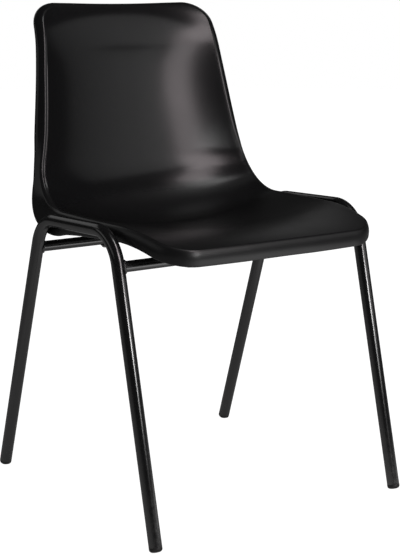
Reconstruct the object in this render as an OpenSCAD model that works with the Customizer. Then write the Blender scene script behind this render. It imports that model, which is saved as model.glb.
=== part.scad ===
// Stacking choir chair: a one-piece moulded shell, deep at the seat and rolled over at its rim, screwed
// to a welded frame of bent round tube. Two side frames, each one tube bent into a front leg, a side
// rail and a rear leg, are joined under the seat by two thinner cross rails.
// Millimetres. +Z is up, the chair faces -Y, and the origin is on the floor in the middle of the feet.

/* [Side frames] */
// Outside diameter of the leg tube
tube_d = 19; // [17:0.5:24]
// Wall of the leg tube and of the cross rails
tube_wall = 1.5; // [1:0.1:2.2]
// Distance on the floor from the front feet's centres to the rear feet's
foot_span = 452; // [410:2:500]
// Height at which the centre lines of the front leg and the side rail cross
corner_z = 430; // [390:2:470]
// Lean of the front legs from upright, degrees
front_rake = 13.7; // [9:0.1:16]
// Lean of the rear legs from upright, degrees
rear_rake = 18.5; // [13:0.1:21]
// Fall of the side rails towards the rear, degrees
rail_fall = 2.1; // [0:0.1:3.5]
// Radius of the tube's two bends, on its centre line
bend_r = 55; // [45:1:65]
// Air between the rolled rim of the seat and the side rail
side_gap = 6; // [5:0.5:15]
// How much further out each foot stands than its side rail
foot_splay = 1.8; // [0:0.2:12]

/* [Cross rails] */
// Outside diameter of the cross rails
cross_d = 16; // [13:0.5:16.5]
// Height of the front corner above the front cross rail's axis
front_cross_drop = 47; // [42:0.5:60]
// Height of the rear corner above the rear cross rail's axis
rear_cross_drop = 45.4; // [40:0.5:58]
// Thickness of the weld round each end of a cross rail
weld_size = 1.4; // [0.6:0.1:2]

/* [Feet] */
// Height of the plastic cap below the tube's end, along the leg
foot_cap_h = 7; // [6:0.5:12]
// Length of the ribbed stem inside the tube
foot_stem_len = 20; // [14:1:32]
// Number of ribs on the stem
foot_ribs = 3; // [2:1:5]
// Radius of the rounded lower edge of the cap
foot_edge_r = 4; // [2:0.5:5]
// Depth to which the sole is flattened by the floor
foot_flat = 1.2; // [0.8:0.1:2]

/* [Seat shell plan] */
// Width between the two rim lines at the front edge
front_w = 356; // [320:2:370]
// Width between the rim lines at its widest, over the seat
seat_w = 390; // [372:2:430]
// Width between the rim lines just above the elbow
waist_w = 345; // [320:1:365]
// Width between the rim lines at the top edge
top_w = 300; // [270:2:330]
// Radius of the two front corners
front_corner_r = 42; // [30:1:50]
// Radius of the two top corners
top_corner_r = 33; // [24:1:42]
// How far the middle of the front edge stands forward of its ends
front_bow = 2.7; // [0:0.1:6]
// How far the middle of the top edge stands above its ends
top_crown = 0.9; // [0:0.1:5]

/* [Seat shell side view] */
// How far the front edge stands forward of the side frame's front corner
front_overhang = 95.3; // [85:0.5:105]
// Height of the seat's rim above the side frame's front corner
seat_rise = 4.6; // [2:0.2:10]
// Radius of the fall of the seat towards its front edge
front_fall_r = 355; // [300:5:420]
// Angle of that fall at the front edge, degrees
front_fall = 21; // [15:0.5:24]
// How far in front of the side frame's rear corner the rim begins to bend up to the back
elbow_setback = 32.3; // [24:0.1:40]
// Radius of the rim's bend from the seat to the back
elbow_r = 84; // [76:1:95]
// Lean of the back from upright, degrees
back_lean = 11.6; // [8:0.2:15]
// Length of the straight stretch of the back's rim
back_flat = 170; // [150:1:190]
// Radius of the top's curl to the rear
top_curl_r = 161; // [130:1:200]
// Angle of that curl, degrees
top_curl = 26; // [15:0.5:32]

/* [Seat shell dish and rim] */
// Thickness of the moulding
wall = 4; // [3:0.1:5]
// Depth of the dish below the rim line at the front edge, below zero where the middle is the higher
front_dish = -2; // [-4:0.5:2]
// Depth of the dish at its deepest, behind the middle of the seat
seat_dish = 38; // [30:1:44]
// Depth of the dish in the upper back
back_dish = 30.5; // [22:0.5:36]
// Depth of the dish at the top edge
top_dish = 8; // [4:0.5:14]
// Radius of the roll of the rim
rim_r = 7.3; // [6:0.1:9]
// Length of the skirt below the roll at the front edge
front_skirt = 18.5; // [12:0.5:24]
// Length of the skirt beside the front of the seat
side_skirt = 16; // [12:0.5:22]
// Length of the skirt at the elbow, its longest
elbow_skirt = 38; // [30:0.5:42]
// Length of the skirt along the back
back_skirt = 12; // [8:0.5:18]
// Length of the skirt over the top edge
top_skirt = 13; // [8:0.5:18]

/* [Fixings] */
// Distance between the left and right screws
screw_spread = 200; // [150:2:230]
// Diameter of the screws' shank
screw_d = 5; // [4:0.5:6]
// Diameter of the screws' pan heads
head_d = 9.5; // [9:0.5:12]
// Height of the pan heads
head_h = 3.2; // [2.5:0.1:4]
// Diameter of the bosses under the seat, at the cross rail
boss_d = 20; // [17:0.5:24]
// Reach of the bosses' ribs from the screw's axis
boss_rib_reach = 20; // [17:0.5:23]
// Thickness of the bosses' ribs
boss_rib_t = 2.5; // [2:0.1:3.5]
// Diameter of the saddle washers
washer_d = 13; // [12.5:0.5:15]
// Thickness of the saddle washers under the cross rail
washer_t = 1.6; // [1:0.1:2.5]

/* [Hidden] */
$fn = 64;

// Small sizes that no one sets
overrun = 1;            // how far a cut runs past what it cuts
seat_fit = 0.15;        // air between a saddle and the round rail that it sits on
thread_fit = 0.05;      // air round a screw in its pilot hole, on the radius
hole_fit = 0.3;         // air round a screw in the drilled cross rail and the washer, on the radius
stem_fit = 0.1;         // air round a foot's ribs in the tube, on the radius
stem_groove = 1;        // depth of the grooves between those ribs
bend_draw = 0.03;       // how much thinner the tube's wall is drawn round a bend, on each face
bend_lap = 0.5;         // how far the straight lengths of tube reach into a bend
boss_wrap = 3;          // how far a boss reaches down beside the round top of its rail
boss_draft = 1.5;       // how much a boss grows in diameter towards the shell
washer_wrap = 2;        // how far a washer reaches up beside the round underside of its rail
tip_cover = 8;          // material above a screw's tip, up to the top of the seat
tip_len = 3;            // length of a screw's pointed tip
recess_w = 1.1;         // width of one slot of the cross recess in a screw head
recess_len = 5.2;       // length of that slot
recess_deep = 1.8;      // its depth

// Side frame in its own plane, as [y, z]
tube_r = tube_d / 2;
bore_r = tube_r - tube_wall;
front_foot = [-foot_span / 2, 0];
rear_foot = [foot_span / 2, 0];
front_corner = front_foot + corner_z * [tan(front_rake), 1];
rear_corner_z = (corner_z - (rear_foot[0] - front_corner[0]) * tan(rail_fall))
    / (1 - tan(rear_rake) * tan(rail_fall));
rear_corner = rear_foot + rear_corner_z * [-tan(rear_rake), 1];
front_turn = 90 - front_rake + rail_fall;
rear_turn = 90 - rear_rake - rail_fall;
front_tangent = bend_r * tan(front_turn / 2);
rear_tangent = bend_r * tan(rear_turn / 2);

// Places across the chair
rail_x = seat_w / 2 + rim_r + side_gap + tube_r;
splay = asin(foot_splay / corner_z);
screw_x = screw_spread / 2;
cross_r = cross_d / 2;
weld_t = min(weld_size, tube_r - cross_r);
front_cross_z = corner_z - front_cross_drop;
rear_cross_z = rear_corner_z - rear_cross_drop;
front_cross = front_foot + front_cross_z * [tan(front_rake), 1];
rear_cross = rear_foot + rear_cross_z * [-tan(rear_rake), 1];

// Rim line of the shell in side view: runs of [length, first heading, last heading], turning evenly
back_heading = 90 - back_lean;
radian = 180 / PI;
rim_start = [front_corner[0] - front_overhang, corner_z + seat_rise - front_fall_r * (1 - cos(front_fall))];
seat_flat = rear_corner[0] - elbow_setback - rim_start[0] - front_fall_r * sin(front_fall);
rim_runs = [
    [front_fall_r * front_fall / radian, front_fall, 0],
    [seat_flat, 0, 0],
    [elbow_r * back_heading / radian, 0, back_heading],
    [back_flat, back_heading, back_heading],
    [top_curl_r * top_curl / radian, back_heading, back_heading - top_curl],
];
rim_len = sum([for (run = rim_runs) run[0]]);

// Stations along the rim line, as shares of its length, and what the shell's sizes are there. A share
// from 0 to 1 lies between the first two sizes of its list, one from 1 to 2 between the next two.
station_shares = [0, 0.2, 0.4, 0.5, 0.58, 0.68, 0.85, 1];
width_shares = [0, 0.85, 1, 1.12, 1.4, 2, 2.6, 3];
dish_shares = [0, 0.53, 0.84, 1, 1.04, 1.29, 2, 3];
skirt_shares = [0, 1, 1.42, 2, 2.91, 2.88, 3, 4];
widths = between([front_w, seat_w, waist_w, top_w], width_shares);
dishes = between([front_dish, seat_dish, back_dish, top_dish], dish_shares);
skirts = between([front_skirt, side_skirt, elbow_skirt, back_skirt, top_skirt], skirt_shares);
skirt_angles = [69, 78.5, 89.5, 76.5, 59, 41.5, 30, 31];
dish_power = 2.2;

// Fineness of the shell: columns across, rows up each corner and between the corners, steps round the roll
columns = 18;
corner_rows = 4;
middle_rows = 34;
roll_steps = 4;

// Small helpers

function sum(v, i = 0) = i == len(v) ? 0 : v[i] + sum(v, i + 1);

function unit(v) = v / norm(v);

function mix(a, b, t) = a + (b - a) * t;

function between(sizes, shares) = [
    for (s = shares)
        let (k = min(floor(s), len(sizes) - 2))
        mix(sizes[k], sizes[k + 1], s - k)
];

// Slope of a smooth curve through the stations' values, and the curve itself at share s of the rim line
function slope(v, k) =
    let (low = max(k - 1, 0), high = min(k + 1, len(v) - 1))
    (v[high] - v[low]) / (station_shares[high] - station_shares[low]);

function at_share(v, s) =
    let (
        inside = min(max(s, 0), 1),
        k = max([for (i = [0 : len(v) - 2]) if (station_shares[i] <= inside) i]),
        gap = station_shares[k + 1] - station_shares[k],
        t = (inside - station_shares[k]) / gap
    )
    (2 * pow(t, 3) - 3 * pow(t, 2) + 1) * v[k]
    + (pow(t, 3) - 2 * pow(t, 2) + t) * gap * slope(v, k)
    + (3 * pow(t, 2) - 2 * pow(t, 3)) * v[k + 1]
    + (pow(t, 3) - pow(t, 2)) * gap * slope(v, k + 1);

// What a run covers, as [y, z], from its start to length len, where its heading has become h1
function travel(len, h0, h1) =
    h0 == h1 ? len * [cos(h0), sin(h0)]
    : len * radian / (h1 - h0) * [sin(h1) - sin(h0), cos(h0) - cos(h1)];

// Point and heading of the rim line at distance b from the front edge, as [y, z, heading]
function rim_at(b, k = 0, start = rim_start) =
    let (run = rim_runs[k])
    b > run[0] && k < len(rim_runs) - 1
        ? rim_at(b - run[0], k + 1, start + travel(run[0], run[1], run[2]))
        : let (heading = mix(run[1], run[2], b / run[0]))
          concat(start + travel(b, run[1], heading), heading);

// Shell surface that the sitter touches: distance a from the middle, b along the rim line
function skin(a, b) =
    let (
        rim = rim_at(b),
        half = at_share(widths, b / rim_len) / 2,
        drop = at_share(dishes, b / rim_len) * (1 - pow(abs(a) / half, dish_power))
    )
    [a, rim[0] + sin(rim[2]) * drop, rim[1] - cos(rim[2]) * drop];

function skin_up(a, b) =
    let (step = wall / 8)
    unit(cross(skin(a + step, b) - skin(a - step, b), skin(a, b + step) - skin(a, b - step)));

// Distance along the rim line at which the seat's surface passes over a place, found by halving
function skin_b(x, y, low = 0, high = rim_runs[0][0] + seat_flat + rim_runs[2][0], turns = 20) =
    let (middle = (low + high) / 2)
    turns == 0 ? middle
    : skin(x, middle)[1] < y ? skin_b(x, y, middle, high, turns - 1)
    : skin_b(x, y, low, middle, turns - 1);

function skin_z(x, y) = skin(x, skin_b(x, y))[2];

// Seat shell

// What a round corner takes off the half width at distance b from the shell's end
function corner_inset(r, b) = b < r ? r - sqrt(max(r * r - (r - b) * (r - b), 0)) : 0;

module moulding() {
    places = concat(
        [for (i = [0 : corner_rows - 1]) front_corner_r * (1 - cos(90 * i / corner_rows))],
        [for (i = [0 : middle_rows]) mix(front_corner_r, rim_len - top_corner_r, i / middle_rows)],
        [for (i = [corner_rows - 1 : -1 : 0]) rim_len - top_corner_r * (1 - cos(90 * i / corner_rows))]
    );
    last = len(places) - 1;
    // [a, b] of every grid point, row by row from the front edge
    grid = [
        for (b = places)
            let (
                half = at_share(widths, b / rim_len) / 2
                    - corner_inset(front_corner_r, b) - corner_inset(top_corner_r, rim_len - b),
                bow = front_bow * max(1 - b / front_corner_r, 0)
                    - top_crown * max(1 - (rim_len - b) / top_corner_r, 0)
            )
            for (j = [0 : columns])
                let (u = 2 * j / columns - 1)
                [half * u, b + bow * u * u]
    ];
    tops = [for (g = grid) skin(g[0], g[1])];
    ups = [for (g = grid) skin_up(g[0], g[1])];
    // Grid points round the edge, anticlockwise from above
    edge = concat(
        [for (j = [0 : columns]) j],
        [for (i = [1 : last]) i * (columns + 1) + columns],
        [for (j = [columns - 1 : -1 : 0]) last * (columns + 1) + j],
        [for (i = [last - 1 : -1 : 1]) i * (columns + 1)]
    );
    turns = len(edge);
    // Frame of the rim at each edge point: the way out, the way up, and how far the roll turns
    frames = [
        for (k = [0 : turns - 1])
            let (
                along = unit(tops[edge[(k + 1) % turns]] - tops[edge[(k + turns - 1) % turns]]),
                out = unit(cross(along, ups[edge[k]])),
                b = grid[edge[k]][1],
                heading = rim_at(b)[2],
                tilt = asin(out * [0, -sin(heading), cos(heading)])
            )
            [
                out,
                cross(out, along),
                tilt + at_share(skirt_angles, b / rim_len),
                at_share(skirts, b / rim_len)
            ]
    ];
    // Rings of the rolled rim: [point, outward normal], the last one at the end of the skirt
    rings = [
        for (step = [1 : roll_steps + 1])
            [
                for (k = [0 : turns - 1])
                    let (
                        f = frames[k],
                        turn = f[2] * min(step / roll_steps, 1),
                        skirt = step > roll_steps ? f[3] : 0
                    )
                    [
                        tops[edge[k]] + rim_r * (sin(turn) * f[0] - (1 - cos(turn)) * f[1])
                            + skirt * (cos(turn) * f[0] - sin(turn) * f[1]),
                        sin(turn) * f[0] + cos(turn) * f[1]
                    ]
            ]
    ];
    // Outer skin, then the inner skin one wall further in
    points = concat(
        tops,
        [for (i = [0 : len(grid) - 1]) tops[i] - wall * ups[i]],
        [for (ring = rings) for (p = ring) p[0]],
        [for (ring = rings) for (p = ring) p[0] - wall * p[1]]
    );
    ring_count = len(rings);
    outer_at = 2 * len(grid);
    inner_at = outer_at + ring_count * turns;
    // Every loop from the seat's edge down the outside of the skirt and back up its inside
    loops = concat(
        [edge],
        [for (r = [0 : ring_count - 1]) [for (k = [0 : turns - 1]) outer_at + r * turns + k]],
        [for (r = [ring_count - 1 : -1 : 0]) [for (k = [0 : turns - 1]) inner_at + r * turns + k]],
        [[for (e = edge) len(grid) + e]]
    );
    sheet = [
        for (i = [0 : last - 1])
            for (j = [0 : columns - 1])
                let (p = i * (columns + 1) + j)
                [p, p + columns + 1, p + columns + 2, p + 1]
    ];
    quads = concat(
        sheet,
        [for (q = sheet) [for (k = [3 : -1 : 0]) q[k] + len(grid)]],
        [
            for (r = [0 : len(loops) - 2])
                for (k = [0 : turns - 1])
                    let (n = (k + 1) % turns)
                    [loops[r][k], loops[r][n], loops[r + 1][n], loops[r + 1][k]]
        ]
    );
    // Each four-cornered face is cut in two, the right half as the mirror of the left
    polyhedron(points, [
        for (q = quads)
            let (first = points[q[0]][0] + points[q[2]][0] < 0 ? 0 : 1)
            each [
                [q[first], q[first + 1], q[first + 2]],
                [q[first], q[first + 2], q[(first + 3) % 4]]
            ]
    ]);
}

// Boss under the seat at a screw, saddled on its cross rail and rooted inside the moulding's wall
module boss(x, rail) {
    b = skin_b(x, rail[0]);
    top = skin(x, b);
    up = skin_up(x, b);
    low_z = rail[1] + cross_r - boss_wrap;
    high_z = top[2] + boss_rib_reach;
    rib_z = mix(low_z, top[2], 0.35);
    difference() {
        union() {
            translate([x, rail[0], low_z])
                cylinder(h = high_z - low_z, d1 = boss_d, d2 = boss_d + boss_draft);
            for (way = [0 : 90 : 270]) {
                end = [x, rail[0]] + boss_rib_reach * [cos(way), sin(way)];
                translate([x, rail[0], 0])
                    rotate([0, 0, way])
                        boss_rib(rib_z, high_z, skin_z(end[0], end[1]));
            }
        }
        // what would stand up out of the wall
        translate(top - 0.3 * wall * up)
            rotate([0, acos(up[2]), atan2(up[1], up[0])])
                translate([-2 * boss_rib_reach, -2 * boss_rib_reach, 0])
                    cube([4 * boss_rib_reach, 4 * boss_rib_reach, 4 * boss_rib_reach]);
        round_bar(rail, cross_r + seat_fit, boss_rib_reach + boss_d + abs(x));
        translate([x, rail[0], low_z - overrun])
            cylinder(h = top[2] - tip_cover + overrun - low_z, r = screw_d / 2 + thread_fit);
    }
}

module boss_rib(low_z, high_z, end_z) {
    rotate([90, 0, 0])
        translate([0, 0, -boss_rib_t / 2])
            linear_extrude(boss_rib_t)
                polygon([
                    [0, low_z], [boss_d / 2, low_z], [boss_rib_reach, end_z],
                    [boss_rib_reach, max(end_z, high_z)], [0, high_z]
                ]);
}

module seat_shell() {
    color([0.07, 0.07, 0.075]) {
        moulding();
        for (x = [-screw_x, screw_x]) {
            boss(x, front_cross);
            boss(x, rear_cross);
        }
    }
}

// Side frames

// Places what is drawn in the plane x = 0 in the plane of a side frame: side 1 is right, -1 is left
module on_side(side) {
    mirror([side < 0 ? 1 : 0, 0, 0])
        translate([rail_x, 0, corner_z])
            rotate([0, -splay, 0])
                translate([0, 0, -corner_z])
                    children();
}

// Straight round bar in the plane x = 0, from a point [y, z], leaning from upright towards +Y
module bar(r, from, lean, length) {
    translate([0, from[0], from[1]])
        rotate([-lean, 0, 0])
            cylinder(h = length, r = r);
}

// Straight tube along such a bar
module tube(from, lean, length) {
    translate([0, from[0], from[1]])
        rotate([-lean, 0, 0])
            linear_extrude(length)
                tube_section(0);
}

// Bend of the tube that leaves a point with a lean and turns further towards +Y and down
module bend(from, lean, turn) {
    middle = from + bend_r * [cos(lean), -sin(lean)];
    translate([0, middle[0], middle[1]])
        rotate([90, 0, 90])
            rotate([0, 0, 180 - lean - turn])
                rotate_extrude(angle = turn)
                    translate([bend_r, 0])
                        tube_section(bend_draw);
}

module tube_section(thinner) {
    difference() {
        circle(tube_r - thinner);
        circle(bore_r + thinner);
    }
}

// The whole bent tube, its two legs ending on their caps
module bent_tube() {
    front_way = [sin(front_rake), cos(front_rake)];
    rear_way = [-sin(rear_rake), cos(rear_rake)];
    rail_way = [cos(rail_fall), -sin(rail_fall)];
    front_len = norm(front_corner - front_foot) - front_tangent - foot_cap_h;
    rear_len = norm(rear_corner - rear_foot) - rear_tangent - foot_cap_h;
    rail_len = norm(rear_corner - front_corner) - front_tangent - rear_tangent;
    tube(front_foot + foot_cap_h * front_way, front_rake, front_len + bend_lap);
    bend(front_corner - front_tangent * front_way, front_rake, front_turn);
    tube(front_corner + (front_tangent - bend_lap) * rail_way, 90 + rail_fall, rail_len + 2 * bend_lap);
    bend(rear_corner - rear_tangent * rail_way, 90 + rail_fall, rear_turn);
    tube(rear_foot + foot_cap_h * rear_way, -rear_rake, rear_len + bend_lap);
}

module side_frame(side) {
    color([0.1, 0.1, 0.11])
        on_side(side)
            bent_tube();
}

// Cross rails

// Round bar across the chair at [y, z], reaching to both sides of the middle
module round_bar(rail, r, reach) {
    translate([0, rail[0], rail[1]])
        rotate([0, 90, 0])
            cylinder(h = 2 * reach, r = r, center = true);
}

module cross_rail(rail, foot, lean) {
    end_x = rail_x + foot_splay * (corner_z - rail[1]) / corner_z;
    weld_len = 2 * weld_t;
    color([0.1, 0.1, 0.11])
        difference() {
            union() {
                round_bar(rail, cross_r, end_x);
                for (side = [-1, 1])
                    mirror([side < 0 ? 1 : 0, 0, 0])
                        translate([end_x - tube_r - weld_len, rail[0], rail[1]])
                            rotate([0, 90, 0]) {
                                cylinder(h = weld_len, r1 = cross_r, r2 = cross_r + weld_t);
                                translate([0, 0, weld_len])
                                    cylinder(h = tube_r, r = cross_r + weld_t);
                            }
            }
            round_bar(rail, cross_r - tube_wall, end_x + overrun);
            // ends fitted round the legs
            for (side = [-1, 1])
                on_side(side)
                    bar(tube_r, foot, lean, corner_z);
            for (x = [-screw_x, screw_x])
                translate([x, rail[0], rail[1] - cross_r - overrun])
                    cylinder(h = cross_d + 2 * overrun, r = screw_d / 2 + hole_fit);
        }
}

// Feet

// Plug drawn upright: its cap below the tube's end, and a stem with ribs that grip the bore
module plug(lean) {
    rib_r = bore_r - stem_fit;
    groove_r = rib_r - stem_groove;
    rib_h = foot_stem_len / (foot_ribs + 1);
    // height of the cap's lower face, so that the leaning rounded edge meets the floor foot_flat deep
    low = (foot_edge_r - foot_flat + (tube_r - foot_edge_r) * sin(lean)) / cos(lean) - foot_edge_r;
    arc_steps = 6;
    rotate_extrude()
        polygon(concat(
            [[0, low]],
            [
                for (i = [0 : arc_steps])
                    let (a = 90 * i / arc_steps)
                    [tube_r - foot_edge_r * (1 - sin(a)), low + foot_edge_r * (1 - cos(a))]
            ],
            [[tube_r, foot_cap_h], [groove_r, foot_cap_h]],
            [
                for (i = [1 : foot_ribs])
                    let (z = foot_cap_h + i * rib_h)
                    each [[groove_r, z - rib_h / 2], [rib_r, z - rib_h / 2], [groove_r, z]]
            ],
            [
                [groove_r, foot_cap_h + foot_stem_len - stem_groove],
                [groove_r - stem_groove, foot_cap_h + foot_stem_len],
                [0, foot_cap_h + foot_stem_len]
            ]
        ));
}

module foot(side, place, lean) {
    color([0.05, 0.05, 0.055])
        difference() {
            on_side(side)
                translate([0, place[0], place[1]])
                    rotate([-lean, 0, 0])
                        plug(abs(lean));
            translate([-foot_span, -foot_span, -tube_d])
                cube([2 * foot_span, 2 * foot_span, tube_d]);
        }
}

// Fixings

module screw(x, rail) {
    head_z = rail[1] - cross_r - washer_t;
    tip_z = skin_z(x, rail[0]) - tip_cover - overrun;
    dome = head_h / 2;
    color([0.55, 0.55, 0.57])
        translate([x, rail[0], head_z])
            difference() {
                union() {
                    cylinder(h = tip_z - tip_len - head_z, d = screw_d);
                    translate([0, 0, tip_z - tip_len - head_z])
                        cylinder(h = tip_len, d1 = screw_d, d2 = screw_d / 4);
                    translate([0, 0, -dome])
                        cylinder(h = dome, d = head_d);
                    translate([0, 0, -head_h])
                        cylinder(h = head_h - dome, d1 = head_d - 2 * dome, d2 = head_d);
                }
                for (way = [0, 90])
                    rotate([0, 0, way])
                        translate([-recess_len / 2, -recess_w / 2, -head_h - overrun])
                            cube([recess_len, recess_w, recess_deep + overrun]);
            }
}

module washer(x, rail) {
    low_z = rail[1] - cross_r - washer_t;
    color([0.16, 0.16, 0.17])
        difference() {
            translate([x, rail[0], low_z])
                cylinder(h = washer_t + washer_wrap, d = washer_d);
            round_bar(rail, cross_r, abs(x) + washer_d);
            translate([x, rail[0], low_z - overrun])
                cylinder(h = washer_t + washer_wrap + 2 * overrun, r = screw_d / 2 + hole_fit);
        }
}

seat_shell();
side_frame(-1);  // left_side_frame
side_frame(1);  // right_side_frame
cross_rail(front_cross, front_foot, front_rake);  // front_cross_rail
cross_rail(rear_cross, rear_foot, -rear_rake);  // rear_cross_rail
foot(-1, front_foot, front_rake);  // front_left_foot
foot(1, front_foot, front_rake);  // front_right_foot
foot(-1, rear_foot, -rear_rake);  // rear_left_foot
foot(1, rear_foot, -rear_rake);  // rear_right_foot
screw(-screw_x, front_cross);  // front_left_screw
screw(screw_x, front_cross);  // front_right_screw
screw(-screw_x, rear_cross);  // rear_left_screw
screw(screw_x, rear_cross);  // rear_right_screw
washer(-screw_x, front_cross);  // front_left_washer
washer(screw_x, front_cross);  // front_right_washer
washer(-screw_x, rear_cross);  // rear_left_washer
washer(screw_x, rear_cross);  // rear_right_washer
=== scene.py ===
# %% [markdown]
# # A stacking choir chair
# The real chair is a black moulded shell, screwed to a welded frame of bent steel tube. Its solids come
# packed from the CAD source, and this script dresses them: a finer shell, tubes with true bends and weld
# beads, plastic feet, and a finish for each. Everything is in metres, with +Z up and the chair facing -Y.

# %% Load the frame
import bpy
import bmesh
import numpy as np
from math import asin, cos, pi, radians, sin, sqrt, tan
from mathutils import Matrix, Vector


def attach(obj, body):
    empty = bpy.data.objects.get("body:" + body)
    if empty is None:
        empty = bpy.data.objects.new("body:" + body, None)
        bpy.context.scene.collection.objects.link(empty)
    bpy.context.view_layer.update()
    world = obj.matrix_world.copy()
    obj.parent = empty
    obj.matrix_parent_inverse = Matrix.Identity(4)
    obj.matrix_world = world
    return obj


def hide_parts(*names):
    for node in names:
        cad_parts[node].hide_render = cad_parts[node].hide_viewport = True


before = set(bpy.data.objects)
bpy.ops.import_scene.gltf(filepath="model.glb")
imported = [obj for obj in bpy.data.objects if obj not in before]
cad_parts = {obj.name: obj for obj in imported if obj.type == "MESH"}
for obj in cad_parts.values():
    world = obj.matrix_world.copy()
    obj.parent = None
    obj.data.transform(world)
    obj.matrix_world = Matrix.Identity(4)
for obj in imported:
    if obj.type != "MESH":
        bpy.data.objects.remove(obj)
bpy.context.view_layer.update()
scene = bpy.context.scene

# %% [markdown]
# ## The camera
# The photograph was taken from the front left, a little above the seat. Its camera could be set by eye, but
# the four feet, which stand on one floor, and the straight legs fix it far better. The picture is 400 by
# 554, so the sensor's long side is its height.

# %% Camera
picture = (400, 554)
focal_pixels = 1390.34
sensor = 36.0
camera_spot = (-1.1944, -1.7342, 0.7542)
camera_pitch, camera_heading = radians(78.4), radians(-34.8)

camera_data = bpy.data.cameras.new("camera")
camera_data.sensor_fit = "AUTO"
camera_data.sensor_width = sensor
camera_data.lens = focal_pixels * sensor / max(picture)
camera = bpy.data.objects.new("camera", camera_data)
camera.location = camera_spot
camera.rotation_euler = (camera_pitch, 0, camera_heading)
scene.collection.objects.link(camera)
scene.camera = camera
print("lens", round(camera_data.lens, 2), "mm")

# %% [markdown]
# ## Node tools
# Every material here is a small network. Writing `nodes.new` and `links.new` for each node makes long
# cells, so a short class keeps a tree and adds a node, sets its inputs and links it in one call. An input
# that is given a socket is linked, and any other value is set on the socket itself. The class also holds
# the few combinations that every finish uses, such as a bump or the principled surface.

# %% Node helper
class Tree:
    def __init__(self, tree):
        self.tree = tree
        self.tree.nodes.clear()

    def add(self, kind, inputs=None, **settings):
        node = self.tree.nodes.new(kind)
        for name, value in settings.items():
            setattr(node, name, value)
        for name, value in (inputs or {}).items():
            self.feed(node.inputs[name], value)
        return node

    def feed(self, socket, value):
        if isinstance(value, bpy.types.NodeSocket):
            self.tree.links.new(value, socket)
        else:
            socket.default_value = value

    def math(self, operation, *values):
        node = self.add("ShaderNodeMath", operation=operation)
        for socket, value in zip(node.inputs, values):
            self.feed(socket, value)
        return node.outputs[0]

    def spread(self, value, low, high, to_low=0.0, to_high=1.0):
        """value from low to high, smoothly, as to_low to to_high."""
        names = ("Value", "From Min", "From Max", "To Min", "To Max")
        inputs = dict(zip(names, (value, low, high, to_low, to_high)))
        return self.add("ShaderNodeMapRange", inputs, interpolation_type="SMOOTHSTEP").outputs["Result"]

    def blend(self, share, first, second):
        """A colour between two, by share. The node's sockets 6, 7 and 2 are those for colours."""
        node = self.add("ShaderNodeMix", data_type="RGBA")
        self.feed(node.inputs["Factor"], share)
        self.feed(node.inputs[6], first)
        self.feed(node.inputs[7], second)
        return node.outputs[2]

    def noise(self, where, scale, detail=2.0, roughness=0.5):
        inputs = {"Vector": where, "Scale": scale, "Detail": detail, "Roughness": roughness}
        return self.add("ShaderNodeTexNoise", inputs).outputs["Fac"]

    def plus(self, value, more, share):
        return self.math("ADD", value, self.math("MULTIPLY", more, share))

    def over(self, colour, second, mask, share):
        """A colour with a second one laid over it, as far as a share of the mask says."""
        return self.blend(self.math("MULTIPLY", mask, share), colour, second)

    def place(self):
        return self.add("ShaderNodeTexCoord").outputs["Object"]

    def height_of(self, where):
        return self.add("ShaderNodeSeparateXYZ", {"Vector": where}).outputs["Z"]

    def bump(self, height, strength, distance, **under):
        """The normal that a relief gives, over the one named as Normal if there is one."""
        inputs = {"Height": height, "Strength": strength, "Distance": distance, **under}
        return self.add("ShaderNodeBump", inputs).outputs["Normal"]

    def surface(self, material, finish):
        """The principled surface with this finish, as the material's result."""
        shader = self.add("ShaderNodeBsdfPrincipled", finish).outputs["BSDF"]
        self.add("ShaderNodeOutputMaterial", {"Surface": shader})
        print(material.name, "nodes:", len(self.tree.nodes))

    def use(self, group, **inputs):
        """A node group's outputs, its inputs named with underscores for spaces."""
        node = self.add("ShaderNodeGroup", None, node_tree=group)
        for name, value in inputs.items():
            self.feed(node.inputs[name.replace("_", " ")], value)
        return node.outputs


# %% New materials and groups
def new_material(name):
    material = bpy.data.materials.new(name)
    material.use_nodes = True
    return material, Tree(material.node_tree)


def new_group(name, inputs, outputs):
    """A shader node group with float inputs {name: value} and outputs {name: socket type}."""
    group = bpy.data.node_groups.new(name, "ShaderNodeTree")
    tree = Tree(group)
    for label, value in inputs.items():
        socket = group.interface.new_socket(label, in_out="INPUT", socket_type="NodeSocketFloat")
        socket.default_value = value
    for label, kind in outputs.items():
        group.interface.new_socket(label, in_out="OUTPUT", socket_type=kind)
    print(name, "takes", list(inputs), "and gives", list(outputs))
    return group, tree, tree.add("NodeGroupInput").outputs, tree.add("NodeGroupOutput").inputs


# %% [markdown]
# ## The studio
# A black gloss object is a mirror: what it shows is the room. The photograph's chair was cut out on white,
# but its surfaces mirror a dark room, a dim sheet under it, and a brighter spot of the sheet in front. More
# light would whiten the floor too, but grey the chair. So the floor and the world are white to the camera
# only. Reflections see the sheet as a painted glow, an emission for them alone, which fades out within a
# step of the chair; its lit spot, a painted pool of light, which draws the line on the lower legs; and a
# room that is nearly black.

# %% Floor and world
floor_r = 9.0
paper_grey = (0.25, 0.25, 0.25, 1)
sheet_shown, sheet_mirrored = 0.97, 0.10
sheet_fade_from, sheet_fade_to = 0.3, 0.9
lit_spot, lit_reach, lit_mirrored = (0.35, -0.85, 0.0), 0.8, 1.35
room_mirrored = 0.02
fill_light = 0.45

floor_mesh = bpy.data.meshes.new("floor")
floor_shape = bmesh.new()
bmesh.ops.create_circle(floor_shape, cap_ends=True, segments=96, radius=floor_r)
floor_shape.to_mesh(floor_mesh)
floor_shape.free()
floor = bpy.data.objects.new("floor", floor_mesh)
scene.collection.objects.link(floor)

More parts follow.
